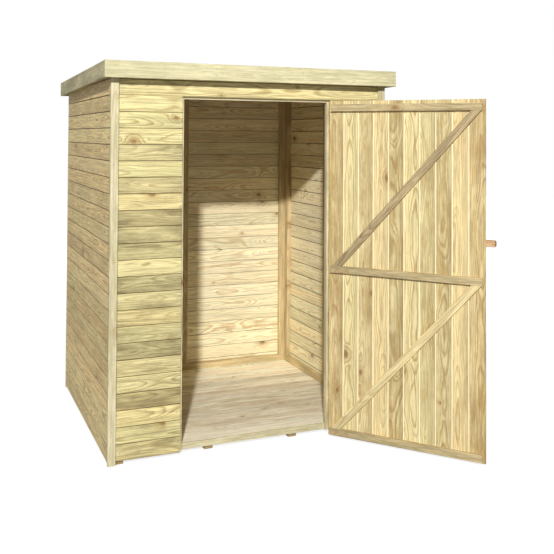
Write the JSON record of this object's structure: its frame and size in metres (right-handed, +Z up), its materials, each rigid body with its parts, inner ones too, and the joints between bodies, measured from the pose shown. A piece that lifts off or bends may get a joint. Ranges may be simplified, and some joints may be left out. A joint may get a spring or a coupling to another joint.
{
  "type": "wooden garden shed",
  "caption": "Small pent-roofed timber shed with horizontal board walls, a boarded floor and a ledged-and-braced door hinged on the right.",
  "frame": {"origin": "on the ground, at the front left corner of the base, where the left bearer's underside has its corner", "axes": "+Z up, +X to the right along the front wall, +Y towards the back wall"},
  "size_m": [1.8068, 2.0047, 1.95],
  "materials": {
    "front_cladding": "planed, pressure treated",
    "side_cladding": "planed, pressure treated",
    "frame_timber": "planed, pressure treated",
    "trim_timber": "planed, pressure treated",
    "fascia_timber": "planed, pressure treated",
    "floor_boards": "planed, pressure treated",
    "base_timber": "sawn, pressure treated",
    "roof_boards": "sawn",
    "roof_felt": "mineral grit",
    "door_boards": "planed, pressure treated",
    "door_timber": "planed, pressure treated",
    "hinge_steel": "zinc plated",
    "knob_wood": "planed"
  },
  "bodies": {
    "shed": {"bearers": "base_timber", "floor": "floor_boards", "threshold": "trim_timber", "left_wall": "side_cladding", "right_wall": "side_cladding", "back_wall": "side_cladding", "front_wall_left": "front_cladding", "front_wall_right": "front_cladding", "front_wall_header": "front_cladding", "left_wall_stiles": "frame_timber", "left_wall_rails": "frame_timber", "right_wall_stiles": "frame_timber", "right_wall_rails": "frame_timber", "back_wall_stiles": "frame_timber", "back_wall_rails": "frame_timber", "front_wall_stiles": "frame_timber", "front_wall_rails": "frame_timber", "corner_posts": "frame_timber", "door_stop_left": "trim_timber", "door_stop_right": "trim_timber", "door_stop_top": "trim_timber", "corner_batten_front_left": "trim_timber", "corner_batten_front_right": "trim_timber", "corner_batten_back_left": "trim_timber", "corner_batten_back_right": "trim_timber", "roof_joists": "frame_timber", "roof_deck": "roof_boards", "roof_felt": "roof_felt", "fascia_front": "fascia_timber", "fascia_back": "fascia_timber", "fascia_left": "fascia_timber", "fascia_right": "fascia_timber", "hinge_plate_top": "hinge_steel", "hinge_plate_bottom": "hinge_steel", "hinge_pins": "hinge_steel"},
    "door": {"door_boards": "door_boards", "door_ledge_top": "door_timber", "door_ledge_middle": "door_timber", "door_ledge_bottom": "door_timber", "door_brace_upper": "door_timber", "door_brace_lower": "door_timber", "hinge_strap_top": "hinge_steel", "hinge_strap_bottom": "hinge_steel", "door_knob": "knob_wood"}
  },
  "joints": [
    {"name": "door_hinge", "type": "hinge", "parent": "shed", "child": "door", "pos_m": [1.151, -0.0215, 0.9], "axis": [0, 0, 1], "range_deg": [-131, 39]}
  ]
}
